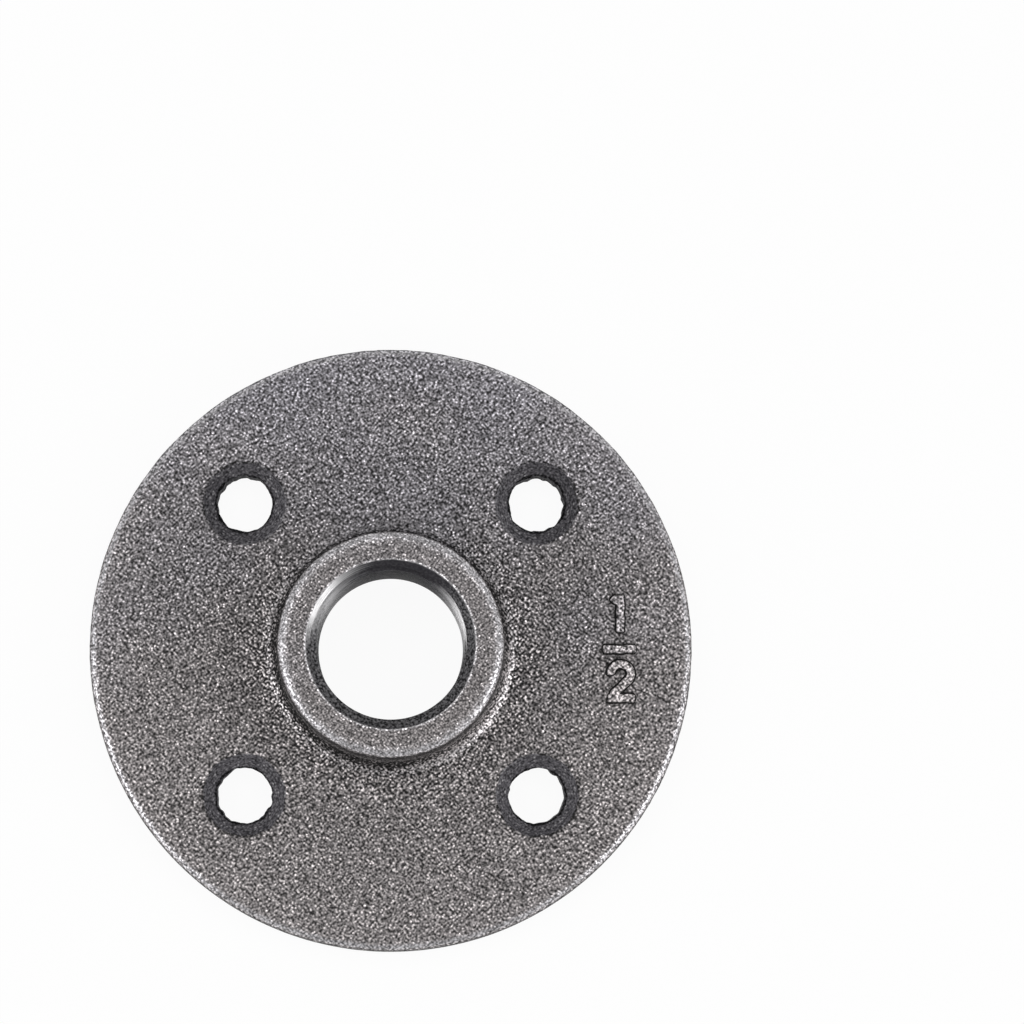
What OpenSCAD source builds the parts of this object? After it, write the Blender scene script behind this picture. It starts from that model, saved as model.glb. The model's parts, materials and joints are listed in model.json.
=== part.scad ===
// Threaded floor flange: one iron casting, a drafted round disc with a filleted hub.
// The hub is bored for a tapered pipe thread, and the disc is drilled and countersunk for wood screws.
// All sizes are in millimetres. The underside lies on Z = 0 and the pipe stands along +Z.

/* [Disc] */
// Outside diameter of the disc, at the foot of the rim
disc_d = 76.2; // [68:0.1:100]
// Thickness of the disc at the rim
disc_h = 5.6; // [4:0.1:9]
// Slope of the top face, rising from the rim towards the hub, in degrees
face_slope = 2; // [0.5:0.5:5]
// Draft of the rim, in degrees
rim_draft = 3; // [1:0.5:8]
// Radius of the rim's upper edge
rim_edge_r = 1.2; // [0.4:0.1:2]
// Radius of the rim's lower edge
foot_edge_r = 0.4; // [0.2:0.1:0.8]

/* [Hub] */
// Height of the hub's face above the underside
hub_h = 19; // [14:0.5:30]
// Wall of the hub at its face, from the bore outwards
hub_wall = 4.7; // [3.5:0.1:8]
// Draft of the hub, in degrees
hub_draft = 2; // [1:0.5:5]
// Radius of the hub's outer edge
hub_edge_r = 1.1; // [0.4:0.1:2]
// Radius of the fillet where the hub meets the disc
hub_fillet_r = 2.5; // [1:0.1:4]

/* [Bore] */
// Diameter of the bore, as drilled before the pipe thread is tapped
bore_d = 18.26; // [14:0.01:23]
// Width of the chamfer at the bore's mouth, in the hub's face
mouth_chamfer = 1.3; // [0.6:0.1:2]
// Width of the chamfer at the bore's foot, in the underside
foot_chamfer = 0.6; // [0.2:0.1:1.2]
// Angle of both chamfers from the bore's axis, in degrees
chamfer_angle = 45; // [30:5:60]

/* [Screw holes] */
// Number of screw holes
screw_count = 4; // [2:1:6]
// Diameter of the circle through the screw holes
screw_circle_d = 52; // [47:0.5:60]
// Angle of the first screw hole from +X, in degrees
first_screw_angle = 45; // [0:5:90]
// Diameter of a screw hole
screw_hole_d = 7; // [4:0.1:8.5]
// Diameter of a countersink at the top face
sink_d = 10.4; // [9:0.1:14]
// Full angle of a countersink, in degrees
sink_angle = 82; // [82, 90, 100]

/* [Hidden] */
$fn = 128;

// Straight steps in each rounded corner of the section
arc_steps = 12;
// How far a cutter runs past the face that it cuts
cut_past = 1;

disc_r = disc_d / 2;
bore_r = bore_d / 2;
hub_r = bore_r + hub_wall;
screw_circle_r = screw_circle_d / 2;
screw_hole_r = screw_hole_d / 2;
sink_r = sink_d / 2;

mouth_chamfer_h = mouth_chamfer / tan(chamfer_angle);
foot_chamfer_h = foot_chamfer / tan(chamfer_angle);

// Radius at the top of the rim, before its edge is rounded
rim_top_r = disc_r - disc_h * tan(rim_draft);
// Radius where the hub's drafted side meets the sloped face, before the fillet
root_reach = hub_h - disc_h - rim_top_r * tan(face_slope);
root_r = (hub_r + root_reach * tan(hub_draft)) / (1 - tan(hub_draft) * tan(face_slope));

// Corners of the casting's section as [[radius, height], corner radius],
// from the bore's foot out along the underside, up over the rim and the hub, and down the bore
section_corners = [
    [[bore_r + foot_chamfer, 0], 0],
    [[disc_r, 0], foot_edge_r],
    [[rim_top_r, disc_h], rim_edge_r],
    [[root_r, face_z(root_r)], hub_fillet_r],
    [[hub_r, hub_h], hub_edge_r],
    [[bore_r + mouth_chamfer, hub_h], 0],
    [[bore_r, hub_h - mouth_chamfer_h], 0],
    [[bore_r, foot_chamfer_h], 0],
];

// Height of the sloped top face at a radius
function face_z(radius) = disc_h + (rim_top_r - radius) * tan(face_slope);

// Unit vector along v
function unit(v) = v / norm(v);

// Arc of the given radius that touches both edges at corner p, going from point a's side to point b's
function corner_arc(a, p, b, radius) =
    let (
        u = unit(a - p),
        v = unit(b - p),
        half_angle = acos(u * v) / 2,
        centre = p + unit(u + v) * radius / sin(half_angle),
        start = p + u * radius / tan(half_angle) - centre,
        start_angle = atan2(start.y, start.x),
        sweep = sign(cross(v, u)) * (180 - 2 * half_angle)
    )
    [
        for (step = [0 : arc_steps])
            let (angle = start_angle + sweep * step / arc_steps)
            centre + radius * [cos(angle), sin(angle)]
    ];

// Closed outline through the corners, with each corner that has a radius turned into an arc
function rounded_outline(corners) =
    let (count = len(corners))
    [
        for (i = [0 : count - 1])
            let (
                before = corners[(i + count - 1) % count][0],
                here = corners[i][0],
                after = corners[(i + 1) % count][0],
                radius = corners[i][1]
            )
            each radius > 0 ? corner_arc(before, here, after, radius) : [here]
    ];

// The casting turned about the pipe's axis, with its bore and both chamfers
module turned_casting() {
    rotate_extrude()
        polygon(rounded_outline(section_corners));
}

// Cutter for one screw hole on the Z axis: a drill topped by the countersink's cone,
// which reaches its full diameter on the sloped face
module screw_hole_cutter() {
    sink_slope = tan(sink_angle / 2);
    sink_top_z = face_z(screw_circle_r);
    sink_bottom_z = sink_top_z - (sink_r - screw_hole_r) / sink_slope;
    rotate_extrude()
        polygon([
            [0, -cut_past],
            [screw_hole_r, -cut_past],
            [screw_hole_r, sink_bottom_z],
            [sink_r + cut_past * sink_slope, sink_top_z + cut_past],
            [0, sink_top_z + cut_past],
        ]);
}

// The screw holes' cutters, evenly spaced around the pipe's axis
module screw_pattern() {
    for (i = [0 : screw_count - 1])
        rotate(first_screw_angle + i * 360 / screw_count)
            translate([screw_circle_r, 0, 0])
                screw_hole_cutter();
}

// The whole flange, in dark grey iron
module flange() {
    color("dimgray")
        difference() {
            turned_casting();
            screw_pattern();
        }
}

flange();
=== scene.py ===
"""Threaded floor flange: a sand-cast iron disc with a tapped hub and four countersunk screw holes.

The flange is made here as a foundry and a machine shop make it. A blank is swept from its section, gets
raised size figures and a sandy skin, and is then drilled, countersunk and tapped.
"""

import json
import logging
from dataclasses import dataclass
from enum import Enum
from math import acos, copysign, cos, pi, radians, sin, tan
from typing import Any, Sequence, Union

import bmesh
import bpy
from bpy.types import Material, Mesh, NodeTree, Object
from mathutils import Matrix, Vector


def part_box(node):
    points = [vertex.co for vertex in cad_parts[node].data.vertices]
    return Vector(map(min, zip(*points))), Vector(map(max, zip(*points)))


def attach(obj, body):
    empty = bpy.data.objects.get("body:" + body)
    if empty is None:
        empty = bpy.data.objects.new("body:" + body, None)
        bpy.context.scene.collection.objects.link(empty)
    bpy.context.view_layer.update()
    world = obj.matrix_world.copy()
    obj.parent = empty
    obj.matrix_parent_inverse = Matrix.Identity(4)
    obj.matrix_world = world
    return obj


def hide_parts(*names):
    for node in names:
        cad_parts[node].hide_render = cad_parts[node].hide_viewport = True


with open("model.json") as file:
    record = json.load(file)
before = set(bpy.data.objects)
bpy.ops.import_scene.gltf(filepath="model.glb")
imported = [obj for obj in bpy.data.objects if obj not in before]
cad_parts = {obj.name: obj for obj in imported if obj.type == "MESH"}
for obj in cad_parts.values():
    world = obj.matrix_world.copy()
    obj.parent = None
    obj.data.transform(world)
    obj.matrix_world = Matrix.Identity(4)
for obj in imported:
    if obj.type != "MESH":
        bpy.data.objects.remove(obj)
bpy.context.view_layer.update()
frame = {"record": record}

log = logging.getLogger("floor_flange")

Socket = bpy.types.NodeSocket
Feed = Union[Socket, "Value", float, int, bool, str, Sequence[Any], bpy.types.ID]
Feeds = dict[Any, Feed]
Span = tuple[float, float]

MM = 0.001
NODE = "flange"
BODY = "root"


class Finish(Enum):
    """The finishes on the flange, each named for the work that leaves it."""

    CAST = "cast_skin"
    TAPPED = "tapped_iron"
    SUNK = "countersunk_iron"


def placed(name: str, data: bpy.types.ID) -> Object:
    """Puts a new object into the scene.

    Args:
        name: the object's name.
        data: its mesh, lamp or camera.

    Returns:
        The object, at the origin.
    """
    made = bpy.data.objects.new(name, data)
    bpy.context.scene.collection.objects.link(made)
    return made


class Value:
    """A number that varies over a mesh or a surface. Arithmetic on it adds Math nodes."""

    def __init__(self, maker: "NodeMaker", socket: Socket) -> None:
        """Keeps the output that gives the number, and the maker of its tree."""
        self.maker = maker
        self.socket = socket

    def __add__(self, other: Feed) -> "Value":
        """Adds another number."""
        return self.maker.calc("ADD", self, other)

    def __sub__(self, other: Feed) -> "Value":
        """Takes another number away."""
        return self.maker.calc("SUBTRACT", self, other)

    def __rsub__(self, other: Feed) -> "Value":
        """Takes this number away from another."""
        return self.maker.calc("SUBTRACT", other, self)

    def __mul__(self, other: Feed) -> "Value":
        """Multiplies by another number."""
        return self.maker.calc("MULTIPLY", self, other)

    def __truediv__(self, other: Feed) -> "Value":
        """Divides by another number."""
        return self.maker.calc("DIVIDE", self, other)

    def __rtruediv__(self, other: Feed) -> "Value":
        """Divides another number by this one."""
        return self.maker.calc("DIVIDE", other, self)

    def ease(self, low: float, high: float, start: float = 0.0, end: float = 1.0) -> "Value":
        """Maps the number smoothly from one span to another.

        Args:
            low: where the smooth step starts.
            high: where it ends.
            start: the result at and before low.
            end: the result at and after high.

        Returns:
            The mapped number.
        """
        feeds = {0: self, 1: low, 2: high, 3: start, 4: end}
        return self.maker.value("ShaderNodeMapRange", feeds, interpolation_type="SMOOTHSTEP")

    def fade(self, low: float, high: float) -> "Value":
        """Maps the number smoothly from 1 at low to 0 at high."""
        return self.ease(low, high, 1.0, 0.0)


class NodeMaker:
    """Adds nodes to one tree and feeds their inputs."""

    def __init__(self, tree: NodeTree) -> None:
        """Keeps the tree that the nodes go into."""
        self.tree = tree

    def feed(self, inputs: Any, feeds: Feeds) -> None:
        """Gives inputs what they work on.

        Args:
            inputs: the inputs of a node.
            feeds: by an input's name or place, an output to link, several outputs for an input that takes
                many, or a plain value.
        """
        for key, value in feeds.items():
            source = value.socket if isinstance(value, Value) else value
            if isinstance(source, Socket):
                self.tree.links.new(source, inputs[key])
            elif inputs[key].is_multi_input:
                for each in source:
                    self.tree.links.new(each, inputs[key])
            else:
                inputs[key].default_value = source

    def node(self, kind: str, feeds: Feeds | None = None, **options: Any) -> bpy.types.Node:
        """Adds a node.

        Args:
            kind: the node's type.
            feeds: what each input gets, by the input's name or place.
            options: the node's own settings.

        Returns:
            The new node.
        """
        made = self.tree.nodes.new(kind)
        for option, value in options.items():
            setattr(made, option, value)
        self.feed(made.inputs, feeds or {})
        return made

    def value(self, kind: str, feeds: Feeds, output: str | int = 0, **options: Any) -> Value:
        """Adds a node and returns the number that it gives."""
        return Value(self, self.node(kind, feeds, **options).outputs[output])

    def calc(self, operation: str, *terms: Feed) -> Value:
        """Adds a Math node and returns its result."""
        return self.value("ShaderNodeMath", dict(enumerate(terms)), operation=operation)

    def vector(self, operation: str, *terms: Feed) -> Socket:
        """Adds a Vector Math node and returns its vector."""
        feeds = dict(enumerate(terms))
        return self.node("ShaderNodeVectorMath", feeds, operation=operation).outputs["Vector"]

    def length(self, x: Feed, y: Feed) -> Value:
        """Returns the length of a vector of two parts."""
        return self.value("ShaderNodeVectorMath", {0: self.flat(x, y)}, "Value", operation="LENGTH")

    def flat(self, x: Feed, y: Feed) -> Socket:
        """Returns a vector of two parts."""
        return self.node("ShaderNodeCombineXYZ", {0: x, 1: y}).outputs[0]

    def parts(self, vector: Feed) -> list[Value]:
        """Returns the three parts of a vector."""
        return [Value(self, part) for part in self.node("ShaderNodeSeparateXYZ", {0: vector}).outputs]

    def round_axis(self, place: Feed) -> tuple[Value, Value]:
        """Returns how far out from an upright axis a place is, and how high."""
        x, y, height = self.parts(place)
        return self.length(x, y), height

    def noise(self, place: Feed, size: Feed, detail: float = 2.0, roughness: float = 0.6) -> Value:
        """Adds a noise texture.

        Args:
            place: the coordinates that it is read at.
            size: the length of its waves, in metres.
            detail: how many finer octaves are added.
            roughness: how strong the finer octaves are.

        Returns:
            The noise, about 0.5 on average.
        """
        feeds = {"Vector": place, "Scale": 1.0 / size, "Detail": detail, "Roughness": roughness}
        return self.value("ShaderNodeTexNoise", feeds)


class GeometryTree(NodeMaker):
    """A Geometry Nodes tree with named inputs, which ends as one plain mesh."""

    MARK = "finish"
    SOCKETS = {
        float: "NodeSocketFloat",
        int: "NodeSocketInt",
        Object: "NodeSocketObject",
        Material: "NodeSocketMaterial",
    }

    def __init__(self, name: str) -> None:
        """Starts a tree that takes a mesh and gives one back.

        Args:
            name: the tree's name.
        """
        super().__init__(bpy.data.node_groups.new(name, "GeometryNodeTree"))
        for way in ("INPUT", "OUTPUT"):
            self.tree.interface.new_socket("Geometry", in_out=way, socket_type="NodeSocketGeometry")
        self.source = self.node("NodeGroupInput")
        self.values: dict[str, Any] = {}

    def size(self, name: str, value: Any) -> Value:
        """Adds a named input to the tree.

        Args:
            name: the input's name.
            value: what the flange gives it.

        Returns:
            The value that holds it inside the tree.
        """
        kind = next(code for of_type, code in self.SOCKETS.items() if isinstance(value, of_type))
        made = self.tree.interface.new_socket(name, in_out="INPUT", socket_type=kind)
        self.values[made.identifier] = value
        return Value(self, self.source.outputs[name])

    def geo(self, kind: str, feeds: Feeds | None = None, **options: Any) -> Socket:
        """Adds a geometry node and returns its first output."""
        return self.node("GeometryNode" + kind, feeds, **options).outputs[0]

    def lift(self, geometry: Socket, height: float) -> Socket:
        """Moves a mesh up and returns it."""
        return self.geo("Transform", {"Geometry": geometry, "Translation": (0.0, 0.0, height)})

    def mark(self, geometry: Socket, finish: Finish) -> Socket:
        """Writes on each face of a mesh which finish it gets, and returns the mesh."""
        feeds = {"Geometry": geometry, "Name": self.MARK, "Value": list(Finish).index(finish)}
        return self.geo("StoreNamedAttribute", feeds, data_type="INT", domain="FACE")

    def wobble(self, geometry: Socket, amount: Value, size: float) -> Socket:
        """Pushes a pattern-maker's lines a little out of true, the same at every height.

        Args:
            geometry: the true lines or mesh.
            amount: how far the noise pushes for each unit of it.
            size: the size of the noise's waves.

        Returns:
            The uneven lines or mesh.
        """
        place = self.vector("MULTIPLY", self.geo("InputPosition"), (1.0, 1.0, 0.0))
        feeds = {"Vector": place, "Scale": 1.0 / size, "Detail": 1.0}
        push = self.node("ShaderNodeTexNoise", feeds).outputs["Color"]
        push = self.vector("SUBTRACT", push, (0.5, 0.5, 0.5))
        push = self.vector("MULTIPLY", push, self.flat(amount, amount))
        return self.geo("SetPosition", {"Geometry": geometry, "Offset": push})

    def close(self, geometry: Socket, finishes: dict[Finish, Material]) -> None:
        """Ends the tree in Realize Instances and Set Material.

        Args:
            geometry: what the tree has made, with its faces marked.
            finishes: the material of each finish.
        """
        mark = self.geo("InputNamedAttribute", {"Name": self.MARK}, data_type="INT")
        dressed = self.geo("RealizeInstances", {0: geometry})
        for place, finish in enumerate(Finish):
            feeds = {"Geometry": dressed, "Material": self.size(finish.value, finishes[finish])}
            if place:
                feeds["Selection"] = self.calc("COMPARE", mark, place, 0.1)
            dressed = self.geo("SetMaterial", feeds)
        self.node("NodeGroupOutput", {0: dressed})

    def run(self, name: str, start: Mesh) -> Object:
        """Runs the tree on a mesh and keeps the result as a plain mesh.

        Args:
            name: the name of the object and of its mesh.
            start: the mesh that the tree starts from.

        Returns:
            An object at the origin, with no modifier.
        """
        piece = placed(name, start)
        modifier = piece.modifiers.new(self.tree.name, "NODES")
        modifier.node_group = self.tree
        for identifier, value in self.values.items():
            modifier[identifier] = value
        shaped = piece.evaluated_get(bpy.context.evaluated_depsgraph_get())
        mesh = bpy.data.meshes.new_from_object(shaped)
        piece.modifiers.remove(modifier)
        mesh.attributes.remove(mesh.attributes[self.MARK])
        while None in list(mesh.materials):
            mesh.materials.pop(index=list(mesh.materials).index(None))
        piece.data = mesh
        mesh.name = name
        bpy.data.meshes.remove(start)
        return piece


class ShaderGroup(NodeMaker):
    """A shader node group with named inputs and outputs, built once and placed in several materials."""

    def __init__(self, name: str, sizes: Sequence[str], results: Sequence[str]) -> None:
        """Starts a group that reads a place on the surface.

        Args:
            name: the group's name.
            sizes: the names of its other inputs.
            results: the names of its outputs.
        """
        super().__init__(bpy.data.node_groups.new(name, "ShaderNodeTree"))
        sockets = self.tree.interface
        sockets.new_socket("Vector", in_out="INPUT", socket_type="NodeSocketVector")
        for way, names in (("INPUT", sizes), ("OUTPUT", results)):
            for each in names:
                sockets.new_socket(each, in_out=way, socket_type="NodeSocketFloat")
        given = self.node("NodeGroupInput").outputs
        self.place = given["Vector"]
        self.sizes = [Value(self, given[each]) for each in sizes]

    def give(self, results: dict[str, Value]) -> NodeTree:
        """Puts out the group's results and returns the group."""
        self.node("NodeGroupOutput", results)
        return self.tree


def sand_grain_group() -> NodeTree:
    """Makes the grain that moulding sand leaves on iron, each grain in a shallow ring.

    Returns:
        A group that takes the size of a grain in metres. It gives the grain's height, and its tone, which is
        about 0.5, goes up with the height, and is far from it where a grain glints or is a pit.
    """
    group = ShaderGroup("sand_grain", ["Grain"], ["Height", "Tone"])
    grain = group.sizes[0]
    cells = group.node("ShaderNodeTexVoronoi", {"Vector": group.place, "Scale": 1.0 / grain}).outputs
    crown = 1.0 - Value(group, cells["Distance"])
    finer = grain / 1.3
    wave = group.noise(group.place, finer, 0.0)
    for side in ((1.0, 0.0, 0.0), (-1.0, 0.0, 0.0), (0.0, 1.0, 0.0), (0.0, -1.0, 0.0)):
        beside = group.vector("MULTIPLY_ADD", side, grain * 0.9, group.place)
        wave = wave - (group.noise(beside, finer, 0.0) - 0.5) * 0.125
    height = crown * 0.4 + wave * 0.6
    chance = group.value("ShaderNodeSeparateColor", {0: cells["Color"]})
    # Painted glints: a few grains are made near white, standing for grains that catch a lamp; a few others
    # are dark pits.
    glint = chance.ease(0.90, 0.95, 0.0, 0.23)
    pit = chance.ease(0.09, 0.14, -0.28, 0.0)
    heart = crown.ease(0.45, 0.8)
    return group.give({"Height": height, "Tone": height + heart * (glint + pit)})


def ring_wear_group() -> NodeTree:
    """Makes the wear along an edge that runs round the pipe's axis.

    Returns:
        A group that takes the edge's radius and height and the width of the wear, and gives its mask.
    """
    group = ShaderGroup("ring_wear", ["Radius", "Height", "Width"], ["Mask"])
    radius, level, width = group.sizes
    reach, height = group.round_axis(group.place)
    away = group.length(reach - radius, height - level) / width
    broken = away + group.noise(group.place, 1.0 / 900.0, 3.0) * 0.9
    return group.give({"Mask": broken.fade(0.45, 1.2)})


def turning_marks_group() -> NodeTree:
    """Makes the fine rings that a turning cutter leaves.

    Returns:
        A group that reads a place measured from the cutter's axis, takes the rings' spacing in metres,
        and gives their height.
    """
    group = ShaderGroup("turning_marks", ["Spacing"], ["Height"])
    along = group.flat(*group.round_axis(group.place))
    return group.give({"Height": group.noise(along, group.sizes[0])})


def sink_outline_group() -> NodeTree:
    """Makes the ragged outline where a countersink meets the sandy skin.

    Returns:
        A group that reads a place measured from the screw hole's axis, takes the countersink's radius, and
        gives a mask that is 1 inside the outline.
    """
    group = ShaderGroup("sink_outline", ["Radius"], ["Mask"])
    reach, _ = group.round_axis(group.place)
    ragged = reach - group.sizes[0] + group.noise(group.place, 0.8 * MM) * (1.3 * MM)
    return group.give({"Mask": ragged.fade(0.55 * MM, 0.8 * MM)})


class MaterialMaker(NodeMaker):
    """A material under construction, round one Principled BSDF."""

    def __init__(self, name: str) -> None:
        """Starts an opaque material.

        Args:
            name: the material's name.
        """
        self.material = bpy.data.materials.new(name)
        self.material.use_nodes = True
        super().__init__(self.material.node_tree)
        self.shader = self.tree.nodes["Principled BSDF"]
        self.place = self.node("ShaderNodeTexCoord").outputs["Object"]

    def group(self, tree: NodeTree, feeds: Feeds, place: Socket | None = None) -> list[Value]:
        """Places a shader group, by default in the object's own coordinates, and returns its results."""
        node = self.node("ShaderNodeGroup", {"Vector": place or self.place, **feeds}, node_tree=tree)
        return [Value(self, result) for result in node.outputs]

    def ramp(self, value: Value, stops: Sequence[tuple[float, Sequence[float]]]) -> Socket:
        """Adds a colour ramp.

        Args:
            value: what it is read at.
            stops: each stop's place and colour.

        Returns:
            The colour.
        """
        node = self.node("ShaderNodeValToRGB", {0: value})
        elements = node.color_ramp.elements
        while len(elements) < len(stops):
            elements.new(0.5)
        for element, (where, colour) in zip(elements, stops):
            element.position = where
            element.color = (*colour, 1.0)
        return node.outputs[0]

    def mix(self, factor: Feed, first: Feed, second: Feed, **options: Any) -> Socket:
        """Blends two colours and returns the result."""
        feeds = {0: factor, 6: first, 7: second}
        return self.node("ShaderNodeMix", feeds, data_type="RGBA", **options).outputs[2]

    def bump(self, height: Value, depth: float, strength: float = 1.0) -> Socket:
        """Returns the normal, bent by a relief that is so many metres deep."""
        feeds = {"Height": height, "Distance": depth, "Strength": strength}
        return self.node("ShaderNodeBump", feeds).outputs[0]

    def dressed(self, feeds: Feeds) -> Material:
        """Feeds the shader and returns the material."""
        self.feed(self.shader.inputs, feeds)
        return self.material


@dataclass(frozen=True)
class Corner:
    """A corner of the casting's section, measured from the pipe's axis and the underside.

    The run that leads up to the corner is divided into rows of about its step.
    """

    radius: float
    height: float
    rounding: float
    step: float

    @property
    def tip(self) -> Vector:
        """The corner's place before it is rounded."""
        return Vector((self.radius, self.height))


@dataclass(frozen=True)
class CastBlank:
    """The rough casting: a drafted disc with a hub on it, and a cored hole through both."""

    widest_r: float
    hub_h: float
    bore_r: float
    rim_h: float = 5.6 * MM
    face_slope: float = radians(2.0)
    rim_draft: float = radians(3.0)
    hub_draft: float = radians(2.0)
    hub_wall: float = 4.7 * MM
    rim_rounding: float = 1.2 * MM
    foot_rounding: float = 0.4 * MM
    hub_rounding: float = 1.1 * MM
    fillet: float = 2.5 * MM
    core_r: float = 8.0 * MM
    arc_step: float = 0.26 * MM
    steps_round: int = 576
    path_r: float = 1.0 * MM
    relief: float = 0.05 * MM
    relief_size: float = 1.3 * MM
    swell: float = 0.06 * MM
    swell_size: float = 9.0 * MM
    plain_foot: Span = (0.1 * MM, 1.2 * MM)
    rub_lean: float = radians(36.0)

    @property
    def disc_r(self) -> float:
        """The disc's radius at the underside, before its foot is rounded."""
        half = (pi / 2.0 - self.rim_draft) / 2.0
        return self.widest_r + self.foot_rounding / tan(half) * sin(self.rim_draft)

    @property
    def hub_r(self) -> float:
        """The hub's radius at its face."""
        return self.bore_r + self.hub_wall

    @property
    def rim_top_r(self) -> float:
        """The disc's radius at the top of its drafted side."""
        return self.disc_r - self.rim_h * tan(self.rim_draft)

    @property
    def root_r(self) -> float:
        """The radius at which the hub's drafted wall would meet the disc's face."""
        lean = tan(self.hub_draft)
        slope = tan(self.face_slope)
        reach = self.hub_h - self.rim_h - self.rim_top_r * slope
        return (self.hub_r + reach * lean) / (1.0 - lean * slope)

    def face_z(self, radius: Any) -> Any:
        """The height of the disc's sloping face at a radius, plain or varying."""
        return self.rim_h + self.rim_top_r * tan(self.face_slope) - radius * tan(self.face_slope)

    def edge_place(self, radius: float, height: float, rounding: float) -> dict[str, float]:
        """Finds the part of a rounded upper edge that is rubbed most.

        Args:
            radius: the radius that the edge would have if it were sharp.
            height: the height that it would have.
            rounding: the radius of its rounding.

        Returns:
            The part's radius and height, as the wear group takes them.
        """
        inwards = rounding * (1.0 - sin(self.rub_lean))
        down = rounding * (1.0 - cos(self.rub_lean))
        return {"Radius": radius - inwards, "Height": height - down}

    def corners(self) -> list[Corner]:
        """Lists the section's corners, anticlockwise from the core's foot.

        Returns:
            The corners.
        """
        root_r = self.root_r
        return [
            Corner(self.core_r, 0.0, 0.0, 4.0 * MM),
            Corner(self.disc_r, 0.0, self.foot_rounding, 4.0 * MM),
            Corner(self.rim_top_r, self.rim_h, self.rim_rounding, 0.5 * MM),
            Corner(root_r, self.face_z(root_r), self.fillet, 0.33 * MM),
            Corner(self.hub_r, self.hub_h, self.hub_rounding, 0.6 * MM),
            Corner(self.core_r, self.hub_h, 0.0, 0.36 * MM),
        ]

    def rounded(self, before: Corner, corner: Corner, after: Corner) -> list[Vector]:
        """Rounds one corner of the section.

        Args:
            before: the corner before it.
            corner: the corner.
            after: the corner after it.

        Returns:
            The points of its arc, or the corner itself where it is sharp.
        """
        if not corner.rounding:
            return [corner.tip]
        back = (before.tip - corner.tip).normalized()
        on = (after.tip - corner.tip).normalized()
        half = acos(back.dot(on)) / 2.0
        centre = corner.tip + (back + on).normalized() * corner.rounding / sin(half)
        first = corner.tip + back * corner.rounding / tan(half) - centre
        sweep = copysign(pi - 2.0 * half, on.cross(back))
        count = max(3, round(corner.rounding * abs(sweep) / self.arc_step))
        arc = []
        for index in range(count + 1):
            turn = sweep * index / count
            swung_x = first.x * cos(turn) - first.y * sin(turn)
            swung_y = first.x * sin(turn) + first.y * cos(turn)
            arc.append(centre + Vector((swung_x, swung_y)))
        return arc

    def section(self) -> Mesh:
        """Draws the section as a closed line, as the sweep's profile.

        Returns:
            A mesh of edges. Its X runs out from the sweep's path and its Y runs down.
        """
        corners = self.corners()
        count = len(corners)
        arcs = [self.rounded(corners[i - 1], corners[i], corners[(i + 1) % count]) for i in range(count)]
        points: list[Vector] = []
        for index, arc in enumerate(arcs):
            following = (index + 1) % count
            run = arcs[following][0] - arc[-1]
            rows = max(1, round(run.length / corners[following].step))
            points += arc
            points += [arc[-1] + run * row / rows for row in range(1, rows)]
        mesh = bpy.data.meshes.new("flange_section")
        edges = [(i, (i + 1) % len(points)) for i in range(len(points))]
        mesh.from_pydata([(p.x - self.path_r, -p.y, 0.0) for p in reversed(points)], edges, [])
        return mesh

    def sweep(self, tree: GeometryTree) -> Socket:
        """Sweeps the section round the pipe's axis.

        Args:
            tree: the tree that the nodes go into.

        Returns:
            The smooth blank.
        """
        profile = tree.geo("MeshToCurve", {"Mesh": tree.source.outputs["Geometry"]})
        turns = {
            "Resolution": tree.size("Steps round", self.steps_round),
            "Radius": tree.size("Path radius", self.path_r),
        }
        path = tree.geo("SetCurveNormal", {"Curve": tree.geo("CurvePrimitiveCircle", turns)}, mode="Z_UP")
        return tree.geo("CurveToMesh", {"Curve": path, "Profile Curve": profile})

    def press_sand(self, tree: GeometryTree, blank: Socket) -> Socket:
        """Presses the sand's relief into everything above the flat underside.

        Args:
            tree: the tree that the nodes go into.
            blank: the smooth casting.

        Returns:
            The casting with its sandy skin, nowhere larger than before.
        """
        place = tree.geo("InputPosition")
        above = tree.parts(place)[2].ease(*self.plain_foot)
        grains = tree.noise(place, self.relief_size).ease(0.3, 0.7)
        swells = tree.noise(place, self.swell_size, 1.0, 0.5).ease(0.25, 0.75)
        dip = grains * tree.size("Sand relief", self.relief) + swells * tree.size("Swell", self.swell)
        offset = tree.vector("MULTIPLY", tree.geo("InputNormal"), dip * above * -1.0)
        return tree.geo("SetPosition", {"Geometry": blank, "Offset": offset})


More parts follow.
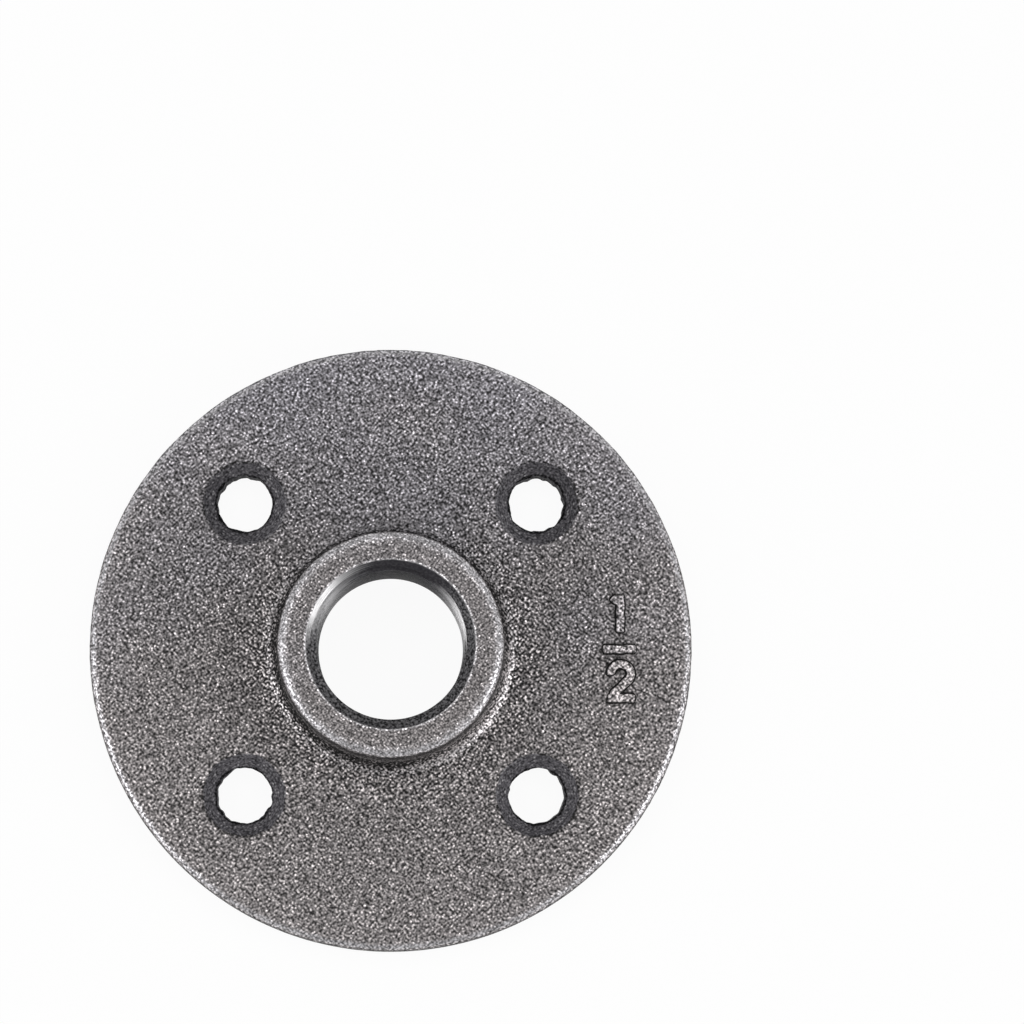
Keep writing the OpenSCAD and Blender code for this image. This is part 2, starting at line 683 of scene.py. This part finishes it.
@dataclass(frozen=True)
class SizeFigures:
    """The raised pipe size beside the hub: a one over a two, in plain rounded strokes."""

    blank: CastBlank
    middle_x: float = 29.0 * MM
    foot_width: float = 2.0 * MM
    crown_width: float = 0.95 * MM
    crown: float = 0.62 * MM
    root: float = 0.4 * MM
    edge: float = 0.15 * MM
    spacing: float = 0.12 * MM
    wobble: float = 0.3 * MM
    wobble_size: float = 1.6 * MM
    least_end: float = 0.3

    def strokes(self) -> list[list[Span]]:
        """Draws the strokes in plan, in millimetres from the figures' middle.

        Returns:
            Each stroke as a line of points.
        """
        bowl = []
        for step in range(16):
            turn = radians(195.0 - 15.0 * step)
            bowl.append((-0.2 + 1.3 * cos(turn), -3.15 + 1.25 * sin(turn)))
        return [
            [(-0.25, 6.95), (-0.25, 1.85)],
            [(-0.3, 6.65), (-1.3, 5.6)],
            [(-2.65, 0.0), (1.95, 0.0)],
            bowl + [(-0.5, -5.07), (-1.45, -6.0)],
            [(-2.1, -6.17), (1.75, -6.2)],
        ]

    def lines(self) -> Object:
        """Lays the strokes on the disc's sloping face.

        Returns:
            An object of edges, one line for each stroke.
        """
        points: list[tuple[float, float, float]] = []
        edges: list[tuple[int, int]] = []
        for stroke in self.strokes():
            first = len(points)
            for x, y in stroke:
                place = Vector((self.middle_x + x * MM, y * MM))
                points.append((place.x, place.y, self.blank.face_z(place.length)))
            edges += [(i, i + 1) for i in range(first, len(points) - 1)]
        mesh = bpy.data.meshes.new("figure_lines")
        mesh.from_pydata(points, edges, [])
        return placed("figure_lines", mesh)

    def raise_strokes(self, tree: GeometryTree, lines: Object) -> Socket:
        """Sweeps a drafted bead along each stroke.

        Args:
            tree: the tree that the nodes go into.
            lines: the strokes' lines.

        Returns:
            The raised figures, rooted below the disc's face.
        """
        drawn = tree.node("GeometryNodeObjectInfo", {"Object": tree.size("Figure lines", lines)}).outputs
        curve = tree.geo("MeshToCurve", {"Mesh": drawn["Geometry"]})
        spacing = tree.size("Figure spacing", self.spacing)
        curve = tree.geo("ResampleCurve", {"Curve": curve, "Length": spacing}, mode="LENGTH")
        curve = tree.wobble(curve, tree.size("Stroke wobble", self.wobble), self.wobble_size)
        curve = tree.geo("SetCurveNormal", {"Curve": curve}, mode="Z_UP")
        widths = {
            "Height": self.crown + self.root,
            "Top Width": tree.size("Figure foot width", self.foot_width),
            "Bottom Width": tree.size("Figure crown width", self.crown_width),
            "Offset": 0.0,
        }
        bead = tree.geo("CurvePrimitiveQuadrilateral", widths, mode="TRAPEZOID")
        rounding = {"Curve": bead, "Count": 4, "Radius": tree.size("Figure edge", self.edge)}
        bead = tree.geo("FilletCurve", rounding, mode="POLY")
        sunk = (0.0, (self.root - self.crown) / 2.0, 0.0)
        bead = tree.geo("Transform", {"Geometry": bead, "Translation": sunk})
        along = tree.value("GeometryNodeSplineParameter", {}, "Length")
        to_end = tree.calc("MINIMUM", along, tree.value("GeometryNodeSplineLength", {}) - along)
        short = 1.0 - tree.calc("MINIMUM", to_end / (self.crown_width / 2.0), 1.0)
        scale = tree.calc("MAXIMUM", tree.calc("SQRT", 1.0 - short * short), self.least_end)
        feeds = {"Curve": curve, "Profile Curve": bead, "Scale": scale, "Fill Caps": True}
        joined = {"Mesh 2": [tree.geo("CurveToMesh", feeds)], "Self Intersection": True}
        return tree.geo("MeshBoolean", joined, operation="UNION", solver="EXACT")


@dataclass(frozen=True)
class PipeThread:
    """The tapered pipe thread in the hub, and the tools that cut it."""

    drill_r: float
    hub_h: float
    pitch: float = 25.4 / 14.0 * MM
    taper: float = 1.0 / 32.0
    mouth_r: float = 10.35 * MM
    tooth: float = 1.4 * MM
    tip_width: float = 0.1 * MM
    flank: float = radians(30.0)
    steps_a_turn: int = 96
    run_out: float = 1.5
    mouth_chamfer: float = 1.3 * MM
    foot_chamfer: float = 0.6 * MM
    overcut: float = 1.0 * MM
    facets: int = 192

    @property
    def mouth_edge(self) -> dict[str, float]:
        """The place of the edge between the hub's face and the mouth, as the wear group takes it."""
        return {"Radius": self.drill_r + self.mouth_chamfer, "Height": self.hub_h}

    def tools(self, tree: GeometryTree) -> list[Socket]:
        """Makes the drill, the tap and the two chamfer cutters.

        Args:
            tree: the tree that the nodes go into.

        Returns:
            The tools, each a closed mesh.
        """
        radius = tree.size("Tap drill radius", self.drill_r)
        rod = {"Vertices": self.facets, "Radius": radius, "Depth": self.hub_h + 2.0 * self.overcut}
        drill = tree.lift(tree.geo("MeshCylinder", rod), self.hub_h / 2.0)
        return [drill, self.tap(tree), *self.chamfers(tree, radius)]

    def tap(self, tree: GeometryTree) -> Socket:
        """Sweeps the tap's tooth along a tapered right-hand helix.

        Args:
            tree: the tree that the nodes go into.

        Returns:
            The solid that the tap takes away outside the drilled hole.
        """
        spare = self.run_out * self.pitch
        rise = self.hub_h + 2.0 * spare
        top_r = self.mouth_r + spare * self.taper - self.tooth / 2.0
        turns = {
            "Resolution": tree.size("Steps a turn", self.steps_a_turn),
            "Rotations": rise / self.pitch,
            "Start Radius": top_r - rise * self.taper,
            "End Radius": top_r,
            "Height": rise,
            "Reverse": True,
        }
        helix = tree.geo("SetCurveNormal", {"Curve": tree.geo("CurveSpiral", turns)}, mode="Z_UP")
        tooth = {
            "Height": tree.size("Tooth height", self.tooth),
            "Top Width": tree.size("Tooth tip width", self.tip_width),
            "Bottom Width": self.tip_width + 2.0 * self.tooth * tan(self.flank),
            "Offset": 0.0,
        }
        outline = tree.geo("CurvePrimitiveQuadrilateral", tooth, mode="TRAPEZOID")
        outline = tree.geo("Transform", {"Geometry": outline, "Rotation": (0.0, 0.0, -pi / 2.0)})
        ridge = tree.geo("CurveToMesh", {"Curve": helix, "Profile Curve": outline, "Fill Caps": True})
        return tree.lift(ridge, -spare)

    def chamfers(self, tree: GeometryTree, radius: Value) -> list[Socket]:
        """Makes the cutters that break the bore's two edges.

        Args:
            tree: the tree that the nodes go into.
            radius: the bore's radius.

        Returns:
            The mouth's cutter and the foot's.
        """
        cutters = []
        for width, base, wide, narrow in (
            (self.mouth_chamfer, self.hub_h - self.mouth_chamfer, "Radius Top", "Radius Bottom"),
            (self.foot_chamfer, 0.0, "Radius Bottom", "Radius Top"),
        ):
            cone = {"Vertices": self.facets, "Depth": width + 2.0 * self.overcut}
            cone |= {wide: radius + (width + self.overcut), narrow: radius - self.overcut}
            cutters.append(tree.lift(tree.geo("MeshCone", cone), base - self.overcut))
        return cutters


@dataclass(frozen=True)
class ScrewHoles:
    """The four countersunk screw holes, and the tools that cut them."""

    circle_r: float
    drill_r: float
    count: int
    face_z: float
    sink_r: float = 5.2 * MM
    sink_half_angle: float = radians(41.0)
    first_angle: float = radians(45.0)
    overcut: float = 1.5 * MM
    facets: int = 96
    wobble: float = 0.8 * MM
    wobble_size: float = 1.3 * MM

    @property
    def sink_foot(self) -> float:
        """The height at which a countersink runs out in its hole."""
        return self.face_z - (self.sink_r - self.drill_r) / tan(self.sink_half_angle)

    def from_nearest(self, maker: MaterialMaker) -> Socket:
        """Returns a place on the surface, measured from the axis of the nearest of the four holes."""
        out = self.circle_r * cos(self.first_angle)
        return maker.vector("SUBTRACT", maker.vector("ABSOLUTE", maker.place), (out, out, 0.0))

    def tools(self, tree: GeometryTree) -> list[Socket]:
        """Makes a drill and a countersink for each hole.

        Args:
            tree: the tree that the nodes go into.

        Returns:
            The drills as one mesh, and the countersinks as another.
        """
        ring = {
            "Vertices": tree.size("Screw holes", self.count),
            "Radius": tree.size("Screw circle radius", self.circle_r),
        }
        turned = {"Geometry": tree.geo("MeshCircle", ring), "Rotation": (0.0, 0.0, self.first_angle)}
        centres = tree.geo("Transform", turned)
        drill_r = tree.size("Screw drill radius", self.drill_r)
        rod = {"Vertices": self.facets, "Radius": drill_r, "Depth": self.face_z + 2.0 * self.overcut}
        drill = tree.lift(tree.geo("MeshCylinder", rod), self.face_z / 2.0)
        spread = self.overcut * tan(self.sink_half_angle)
        cone = {
            "Vertices": self.facets,
            "Radius Top": tree.size("Countersink radius", self.sink_r) + spread,
            "Radius Bottom": drill_r - spread,
            "Depth": self.face_z - self.sink_foot + 2.0 * self.overcut,
        }
        sink = tree.lift(tree.geo("MeshCone", cone), self.sink_foot - self.overcut)
        wobble = tree.size("Hole wobble", self.wobble)
        tools = []
        for tool in (drill, sink):
            copies = tree.geo("InstanceOnPoints", {"Points": centres, "Instance": tool})
            made = tree.geo("RealizeInstances", {0: copies})
            tools.append(tree.wobble(made, wobble, self.wobble_size))
        return tools


@dataclass(frozen=True)
class Grains:
    """The shader groups that the finishes share."""

    sand: NodeTree
    wear: NodeTree
    turning: NodeTree
    outline: NodeTree


@dataclass(frozen=True)
class CastSkin:
    """Iron as it left the sand, under a thin dark coat.

    A span says where a zone starts and ends: out from the hub's root, down from the hub's face, up from the
    disc's face, or across the disc.
    """

    TONES = (
        (0.20, 0.004), (0.34, 0.036), (0.43, 0.115), (0.50, 0.197), (0.57, 0.293), (0.66, 0.51), (0.78, 0.95),
    )
    WARM = (1.0, 0.93, 0.932, 1.0)
    COOL = (0.985, 0.948, 1.03, 1.0)
    # Tint of worn edges and of the painted highlight at the hub's foot.
    WEAR_AND_HIGHLIGHT_TINT = (0.99, 0.965, 1.0, 1.0)
    SHADES = {
        "crown": 0.11,
        # Painted shade: a dark outline along the figures' flanks and feet.
        "flank": -0.42,
        # Painted shade: the hub's wall is darkened, more higher up, stopping just under its top edge.
        "wall": -0.26,
        # Painted shade: a dark ring in the corner at the hub's root.
        "foot": -0.2,
        # Painted shade: a faint darkening round the hub's root.
        "hollow": -0.015,
        # Painted highlight: the hub's foot is lightened on the side that faces the right-hand lamp.
        "lit_side_highlight": 0.22,
        "hub_top": 0.02,
        # Painted shade: the disc is made lighter towards the rim and so darker towards the hub.
        "outwards": 0.025,
        # Painted shade: a dark line on the rim's drafted side.
        "rim_line": -0.15,
        "sink_line": -0.17,
        # Worn edges, and a faint painted highlight on the ledge at the hub's foot.
        "wear_and_highlight": 0.16,
    }
    # The speckle is made stronger in the hollow round the hub, and weaker on the hub's far side from the side
    # lamps, which is painted as its shaded side.
    CONTRASTS = {"hub_top": -0.2, "crown": 0.3, "hollow": 0.5, "shaded_side": -0.67, "outwards": -0.08}

    blank: CastBlank
    thread: PipeThread
    screws: ScrewHoles
    grains: Grains
    grain: float = 0.36 * MM
    fine_grain: float = 0.3 * MM
    speckle: float = 0.5 * MM
    bump_depth: float = 0.24 * MM
    contrast: float = 0.99
    ledge_out: float = 1.15 * MM
    ledge_up: float = 0.4 * MM
    drift_size: float = 14.0 * MM
    drift: float = 50.0 * MM
    cooling: Span = (18.0 * MM, 68.0 * MM)
    figured: Span = (20.0 * MM, 21.0 * MM)
    crown_rise: Span = (0.54 * MM, 0.64 * MM)
    crown_uneven: float = 0.3 * MM
    flank_rise: Span = (0.0, 0.05 * MM)
    below_edge: Span = (0.5 * MM, 1.4 * MM)
    wall_rise: Span = (2.0 * MM, 9.0 * MM)
    low_rise: Span = (1.5 * MM, 3.0 * MM)
    hollow_out: Span = (0.2 * MM, 6.5 * MM)
    foot_out: Span = (0.2 * MM, 1.0 * MM)
    highlight_out: Span = (0.5 * MM, 1.7 * MM)
    far_side: Span = (8.0 * MM, 16.0 * MM)
    far_lean: float = 0.17
    near_side: Span = (11.5 * MM, 17.5 * MM)
    near_lean: float = 0.7
    hub_top: Span = (0.4 * MM, 1.0 * MM)
    rim_line: Span = (-0.2 * MM, -0.02 * MM)
    outer_disc: float = 22.0 * MM

    def material(self) -> Material:
        """Makes the finish.

        Returns:
            The material.
        """
        maker = MaterialMaker(Finish.CAST.value)
        height, tone = maker.group(self.grains.sand, {"Grain": self.grain})
        _, fine_tone = maker.group(self.grains.sand, {"Grain": self.fine_grain})
        pale, bright = self.wear_and_highlight(maker)
        zones = {**self.zones(maker), "wear_and_highlight": pale}
        tone = tone + (fine_tone - tone) * zones["hub_top"]
        contrast: Feed = self.contrast
        for name, amount in self.CONTRASTS.items():
            contrast = zones[name] * amount + contrast
        tone = (tone - 0.5) * contrast + 0.5
        for name, amount in self.SHADES.items():
            tone = zones[name] * amount + tone
        colour = maker.ramp(tone, [(place, (grey, grey, grey)) for place, grey in self.TONES])
        relief = (height - 0.5) * (1.0 - bright * 0.8)
        feeds = {
            "Base Color": self.tinted(maker, colour, pale),
            "Metallic": maker.calc("MAXIMUM", tone.ease(0.55, 0.72, 0.0, 0.7), bright * 0.65),
            "Roughness": tone.ease(0.35, 0.7, 0.6, 0.3),
            "Normal": maker.bump(relief, self.bump_depth),
            "Specular IOR Level": 0.25,
        }
        return maker.dressed(feeds)

    def tinted(self, maker: MaterialMaker, colour: Socket, pale: Value) -> Socket:
        """Lets the coat drift from a warm grey on the near side to a cool one on the far side.

        Args:
            maker: the material under construction.
            colour: the neutral colour.
            pale: how pale wear and the painted highlight make the skin, which takes the coat's tint away.

        Returns:
            The tinted colour.
        """
        drift = maker.noise(maker.place, self.drift_size, 1.0, 0.5) * self.drift
        cool = (drift + maker.parts(maker.place)[1]).ease(*self.cooling)
        hue = maker.mix(pale, maker.mix(cool, self.WARM, self.COOL), self.WEAR_AND_HIGHLIGHT_TINT)
        return maker.mix(1.0, colour, hue, blend_type="MULTIPLY")

    def wear_and_highlight(self, maker: MaterialMaker) -> tuple[Value, Value]:
        """Finds the worn rim and hub's edges, and the ledge at the hub's foot, which gets a painted
        highlight.

        Args:
            maker: the material under construction.

        Returns:
            How pale wear and the highlight make the skin, and how far they make it bright metal.
        """
        blank = self.blank
        ledge_r = blank.root_r + self.ledge_out
        ledge = {"Radius": ledge_r, "Height": blank.face_z(ledge_r) + self.ledge_up}
        pale: Feed = 0.0
        bright: Feed = 0.0
        for place, width, paleness, brightness in (
            (blank.edge_place(blank.hub_r, blank.hub_h, blank.hub_rounding), 1.5 * MM, 1.0, 1.0),
            (blank.edge_place(blank.rim_top_r, blank.rim_h, blank.rim_rounding), 0.9 * MM, 1.0, 1.0),
            (self.thread.mouth_edge, 0.35 * MM, 0.8, 0.8),
            # The ledge is not worn: its paleness is a painted highlight, and its metal catches the lamps.
            (ledge, 1.4 * MM, 0.35, 0.95),
        ):
            mask, = maker.group(self.grains.wear, {**place, "Width": width})
            pale = maker.calc("MAXIMUM", mask * paleness, pale)
            bright = maker.calc("MAXIMUM", mask * brightness, bright)
        return pale, bright

    def zones(self, maker: MaterialMaker) -> dict[str, Value]:
        """Finds the zones of painted shade and highlight, and where the coat wore or the sand was finer.

        Args:
            maker: the material under construction.

        Returns:
            The zones' masks, by name.
        """
        blank = self.blank
        x, y, _ = maker.parts(maker.place)
        reach, height = maker.round_axis(maker.place)
        raised = height - blank.face_z(reach)
        drop = blank.hub_h - height
        past_root = reach - blank.root_r
        figured = reach.ease(*self.figured)
        upper = height.ease(0.3 * blank.rim_h, 0.7 * blank.rim_h)
        speckle = maker.noise(maker.place, self.speckle, 1.0, 0.5)
        crown = (speckle * self.crown_uneven + raised).ease(*self.crown_rise) * figured
        flank = raised.ease(*self.flank_rise) - crown
        below_edge = drop.ease(*self.below_edge)
        hollow = past_root.fade(*self.hollow_out) * below_edge * upper
        low = raised.fade(*self.low_rise) * upper
        # The far side looks away from the side lamps; the near side faces the right-hand lamp.
        far = (y - x * self.far_lean).ease(*self.far_side)
        near = (x - y * self.near_lean).ease(*self.near_side)
        from_hole = self.screws.from_nearest(maker)
        outline, = maker.group(self.grains.outline, {"Radius": self.screws.sink_r}, from_hole)
        return {
            "crown": crown,
            # Painted shade along the figures' flanks and feet.
            "flank": flank * speckle.ease(0.35, 0.6, 0.65, 1.0) * figured,
            # Painted shade on the hub's wall.
            "wall": raised.ease(*self.wall_rise) * below_edge,
            # Painted shade round the hub's root; the speckle is made stronger there too.
            "hollow": hollow,
            # Weaker speckle on the hub's far side from the side lamps, painted as shade.
            "shaded_side": hollow * far,
            # Painted shade in the corner at the hub's root.
            "foot": past_root.fade(*self.foot_out) * low,
            # Painted highlight on the hub's foot, on the side towards the right-hand lamp.
            "lit_side_highlight": past_root.fade(*self.highlight_out) * low * near,
            "hub_top": drop.fade(*self.hub_top),
            # Painted shade: lighter towards the rim, away from the hub.
            "outwards": reach.ease(self.outer_disc, blank.rim_top_r),
            # Painted shade on the rim's drafted side.
            "rim_line": (reach - blank.rim_top_r).ease(*self.rim_line),
            "sink_line": outline * upper,
        }


@dataclass(frozen=True)
class TappedIron:
    """Iron that the tap has cut, under the dark coat, with painted highlight streaks and a side painted dark.
    """

    COAT = ((0.35, (0.02, 0.02, 0.021)), (0.68, (0.2, 0.195, 0.203)))
    HIGHLIGHT = (0.9, 0.89, 0.9, 1.0)
    WORN = (0.5, 0.49, 0.5, 1.0)
    DARK_SIDE = (0.045, 0.043, 0.049, 1.0)

    thread: PipeThread
    grains: Grains
    spacing: float = 0.12 * MM
    grain: float = 0.34 * MM
    bump_depth: float = 0.015 * MM
    worn_width: float = 0.4 * MM
    mouth_streak: float = radians(145.0)
    wall_streak: float = radians(20.0)
    streak: Span = (radians(3.4), radians(37.4))
    raggedness: float = radians(90.0)
    dark_side_turn: float = radians(95.0)
    dark_side: Span = (radians(35.0), radians(75.0))
    wall_top: Span = (-0.2 * MM, 0.1 * MM)
    cover: float = 0.85
    lip_lean: float = 0.45

    def material(self) -> Material:
        """Makes the finish.

        Returns:
            The material.
        """
        maker = MaterialMaker(Finish.TAPPED.value)
        rings, = maker.group(self.grains.turning, {"Spacing": self.spacing})
        sand, tone = maker.group(self.grains.sand, {"Grain": self.grain})
        worn, = maker.group(self.grains.wear, {**self.thread.mouth_edge, "Width": self.worn_width})
        x, y, height = maker.parts(maker.place)
        turn = maker.calc("ARCTAN2", y, x)
        on_wall = (height - (self.thread.hub_h - self.thread.mouth_chamfer)).fade(*self.wall_top)
        highlight_streak = self.highlight_streak(maker, turn, rings, on_wall)
        # Painted shade: one side of the bore, round a fixed turn, is painted dark, and is also made smoother.
        dark_side = maker.calc("ABSOLUTE", turn - self.dark_side_turn).fade(*self.dark_side)
        colour = maker.mix(dark_side * self.cover, maker.ramp(tone, self.COAT), self.DARK_SIDE)
        # Painted highlight: the streaks are painted near white, and are also made more metallic and smoother.
        colour = maker.mix(highlight_streak, colour, self.HIGHLIGHT)
        colour = maker.mix(worn * self.cover, colour, self.WORN)
        relief = sand * (5.0 - maker.calc("MAXIMUM", highlight_streak, dark_side) * 4.0) + rings
        lip = highlight_streak * (1.0 - on_wall) * self.lip_lean
        normal = maker.bump(relief, self.bump_depth, 0.7)
        normal = maker.vector("MULTIPLY_ADD", (0.0, 0.0, 1.0), lip, normal)
        feeds = {
            "Base Color": colour,
            "Metallic": highlight_streak * 0.55 + 0.3,
            "Roughness": 0.46 - highlight_streak * 0.18,
            "Normal": maker.vector("NORMALIZE", normal),
            "Specular IOR Level": 0.05,
        }
        return maker.dressed(feeds)

    def highlight_streak(self, maker: MaterialMaker, turn: Value, rings: Value, on_wall: Value) -> Value:
        """Finds the painted highlight streaks, at fixed turns round the bore: one at the mouth, one on the
        wall alone.

        Args:
            maker: the material under construction.
            turn: the angle round the bore's axis.
            rings: the height of the turning marks.
            on_wall: the mask of the threaded wall, below the mouth's chamfer.

        Returns:
            The streaks' mask, broken up along the turning marks.
        """
        ragged = (rings - 0.5) * self.raggedness
        mouth = (maker.calc("ABSOLUTE", turn - self.mouth_streak) + ragged).fade(*self.streak)
        wall = (maker.calc("ABSOLUTE", turn - self.wall_streak) + ragged).fade(*self.streak)
        both = maker.calc("MAXIMUM", mouth * (1.0 - on_wall * 0.6), wall * on_wall * 0.8)
        return both * rings.ease(0.38, 0.58, 0.55, 1.0)


@dataclass(frozen=True)
class SunkIron:
    """The countersinks and screw holes, cast to shape and thick with the dark coat; the holes get painted
    shade.
    """

    TONES = (
        (0.20, (0.006, 0.006, 0.0065)),
        (0.38, (0.056, 0.054, 0.059)),
        (0.50, (0.108, 0.103, 0.113)),
        (0.62, (0.18, 0.174, 0.186)),
        (0.82, (0.45, 0.44, 0.45)),
    )

    screws: ScrewHoles
    grains: Grains
    spacing: float = 0.3 * MM
    grain: float = 0.36 * MM
    bump_depth: float = 0.12 * MM
    wall_top: Span = (-0.25 * MM, -0.05 * MM)
    sink_foot: Span = (0.1 * MM, 0.35 * MM)
    underside: Span = (0.3 * MM, 1.0 * MM)

    def material(self) -> Material:
        """Makes the finish.

        Returns:
            The material.
        """
        maker = MaterialMaker(Finish.SUNK.value)
        from_hole = self.screws.from_nearest(maker)
        rings, = maker.group(self.grains.turning, {"Spacing": self.spacing}, from_hole)
        sand, tone = maker.group(self.grains.sand, {"Grain": self.grain})
        inside, = maker.group(self.grains.outline, {"Radius": self.screws.sink_r}, from_hole)
        height = maker.parts(from_hole)[2]
        past_foot = height - self.screws.sink_foot
        wall = past_foot.fade(*self.wall_top)
        above = past_foot.fade(*self.sink_foot) - wall
        tone = tone * 0.75 + rings * 0.25 + (1.0 - inside) * 0.2
        # Painted shade in the holes: the drilled wall a little darker, a dark line at the countersink's foot,
        # and darker towards the underside.
        tone = tone - wall * 0.1 - above * 0.28 - height.fade(*self.underside) * 0.3
        feeds = {
            "Base Color": maker.ramp(tone, self.TONES),
            "Roughness": tone.ease(0.3, 0.65, 0.75, 0.45),
            "Normal": maker.bump(sand, self.bump_depth),
            "Specular IOR Level": 0.08,
        }
        return maker.dressed(feeds)


@dataclass(frozen=True)
class Flange:
    """The finished flange: one casting, machined and dressed."""

    blank: CastBlank
    figures: SizeFigures
    thread: PipeThread
    screws: ScrewHoles
    crease: float = radians(32.0)

    @classmethod
    def from_frame(cls) -> "Flange":
        """Takes the flange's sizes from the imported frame.

        Returns:
            The flange, not yet built.
        """
        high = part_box(NODE)[1]
        mounts = {mount["name"]: mount["dims"] for mount in frame["record"]["mounts"]}
        bore_r = mounts["pipe_thread"]["r_mm"] * MM
        circle_r = mounts["screw_holes"]["pcd_mm"] * MM / 2.0
        drill_r = mounts["screw_holes"]["hole_r_mm"] * MM
        blank = CastBlank(widest_r=high.x, hub_h=high.z, bore_r=bore_r)
        screws = ScrewHoles(circle_r, drill_r, mounts["screw_holes"]["count"], blank.face_z(circle_r))
        return cls(blank, SizeFigures(blank), PipeThread(bore_r, blank.hub_h), screws)

    def finishes(self) -> dict[Finish, Material]:
        """Makes the flange's finishes.

        Returns:
            Each finish's material.
        """
        grains = Grains(sand_grain_group(), ring_wear_group(), turning_marks_group(), sink_outline_group())
        return {
            Finish.CAST: CastSkin(self.blank, self.thread, self.screws, grains).material(),
            Finish.TAPPED: TappedIron(self.thread, grains).material(),
            Finish.SUNK: SunkIron(self.screws, grains).material(),
        }

    def build(self) -> Object:
        """Casts, machines and dresses the flange.

        Returns:
            The flange as one plain mesh.
        """
        finishes = self.finishes()
        tree = GeometryTree("flange_making")
        lines = self.figures.lines()
        shapes = {"Mesh 2": [self.blank.sweep(tree), self.figures.raise_strokes(tree, lines)]}
        casting = tree.geo("MeshBoolean", shapes, operation="UNION", solver="MANIFOLD")
        casting = tree.mark(self.blank.press_sand(tree, casting), Finish.CAST)
        cuts = [tree.mark(tool, Finish.TAPPED) for tool in self.thread.tools(tree)]
        cuts += [tree.mark(tool, Finish.SUNK) for tool in self.screws.tools(tree)]
        shapes = {"Mesh 1": casting, "Mesh 2": cuts}
        machined = tree.geo("MeshBoolean", shapes, operation="DIFFERENCE", solver="MANIFOLD")
        tree.close(machined, finishes)
        piece = tree.run("flange_casting", self.blank.section())
        bpy.data.objects.remove(lines)
        self.soften(piece.data, finishes)
        return piece

    def soften(self, mesh: Mesh, finishes: dict[Finish, Material]) -> None:
        """Shades the flange smooth, and keeps the edges that a tool has cut sharp.

        Args:
            mesh: the flange's mesh.
            finishes: its materials, by finish.
        """
        cast = list(mesh.materials).index(finishes[Finish.CAST])
        work = bmesh.new()
        work.from_mesh(mesh)
        for face in work.faces:
            face.smooth = True
        for edge in work.edges:
            sides = [face.material_index for face in edge.link_faces]
            cut = any(side != cast for side in sides)
            edge.smooth = not (cut and (len(set(sides)) > 1 or edge.calc_face_angle(0.0) > self.crease))
        work.to_mesh(mesh)
        work.free()


@dataclass(frozen=True)
class Studio:
    """A pale floor, a soft lamp above, two low side lamps, and a camera that looks almost straight down."""

    WHITE = (1.0, 1.0, 1.0, 1.0)
    PALE = (0.9, 0.9, 0.9, 1.0)
    LAMPS = (
        ("lamp_right", (0.667, -0.269, 0.351), (0.6, 0.4), 2.0),
        ("lamp_left", (-0.667, -0.269, 0.351), (0.6, 0.4), 2.0),
        ("lamp_top", (0.0, 0.2, 1.0), (1.4, 0.5), 5.0),
    )

    view_distance: float = 450.0 * MM
    view_tilt: float = radians(2.5)
    view_width: float = 130.0 * MM
    shift: Span = (0.1185, 0.1358)
    sensor: float = 36.0
    floor_size: float = 6.0
    floor_drop: float = 0.2 * MM
    floor_glow: float = 0.94
    fill: float = 0.3

    def floor(self) -> Object:
        """Lays a pale floor that keeps the flange's shadow.

        Returns:
            The floor.
        """
        half = self.floor_size / 2.0
        corners = [(-half, -half), (half, -half), (half, half), (-half, half)]
        mesh = bpy.data.meshes.new("floor")
        mesh.from_pydata([(x, y, -self.floor_drop) for x, y in corners], [], [(0, 1, 2, 3)])
        maker = MaterialMaker("pale_floor")
        mesh.materials.append(maker.dressed({"Base Color": self.PALE, "Roughness": 0.9}))
        rays = maker.node("ShaderNodeLightPath").outputs
        seen = maker.calc("MAXIMUM", rays["Is Camera Ray"], rays["Is Glossy Ray"])
        seen = maker.calc("MAXIMUM", seen, rays["Is Transmission Ray"])
        glow = maker.node("ShaderNodeEmission", {"Color": self.WHITE, "Strength": 1.0}).outputs[0]
        feeds = {0: seen * self.floor_glow, 1: maker.shader.outputs[0], 2: glow}
        mixed = maker.node("ShaderNodeMixShader", feeds).outputs[0]
        maker.feed(maker.tree.nodes["Material Output"].inputs, {"Surface": mixed})
        return placed("floor", mesh)

    def lamps(self) -> None:
        """Hangs the lamps and fills the room with a plain soft light."""
        for name, place, (width, height), power in self.LAMPS:
            light = bpy.data.lights.new(name, "AREA")
            light.shape = "RECTANGLE"
            light.size = width
            light.size_y = height
            light.energy = power
            lamp = placed(name, light)
            lamp.location = place
            lamp.rotation_euler = (-Vector(place)).to_track_quat("-Z", "Y").to_euler()
        world = bpy.data.worlds.new("studio")
        world.use_nodes = True
        back = world.node_tree.nodes["Background"]
        back.inputs["Color"].default_value = self.WHITE
        back.inputs["Strength"].default_value = self.fill
        bpy.context.scene.world = world

    def camera(self) -> None:
        """Sets the camera over the flange, a little towards its near side."""
        lens = bpy.data.cameras.new("camera")
        lens.sensor_width = self.sensor
        lens.lens = self.sensor * self.view_distance / self.view_width
        lens.shift_x, lens.shift_y = self.shift
        camera = placed("camera", lens)
        upwards = Vector((0.0, -sin(self.view_tilt), cos(self.view_tilt)))
        camera.location = upwards * self.view_distance
        camera.rotation_euler = (self.view_tilt, 0.0, 0.0)
        bpy.context.scene.camera = camera


def main() -> None:
    """Builds the flange and the studio, and reports each piece."""
    logging.basicConfig(level=logging.INFO, format="%(message)s")
    bpy.context.scene.view_settings.view_transform = "Standard"
    studio = Studio()
    studio.camera()
    studio.lamps()
    studio.floor()
    piece = Flange.from_frame().build()
    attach(piece, BODY)
    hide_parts(NODE)
    piece.data.calc_loop_triangles()
    log.info("%s: %d triangles", piece.name, len(piece.data.loop_triangles))


if __name__ == "__main__":
    main()
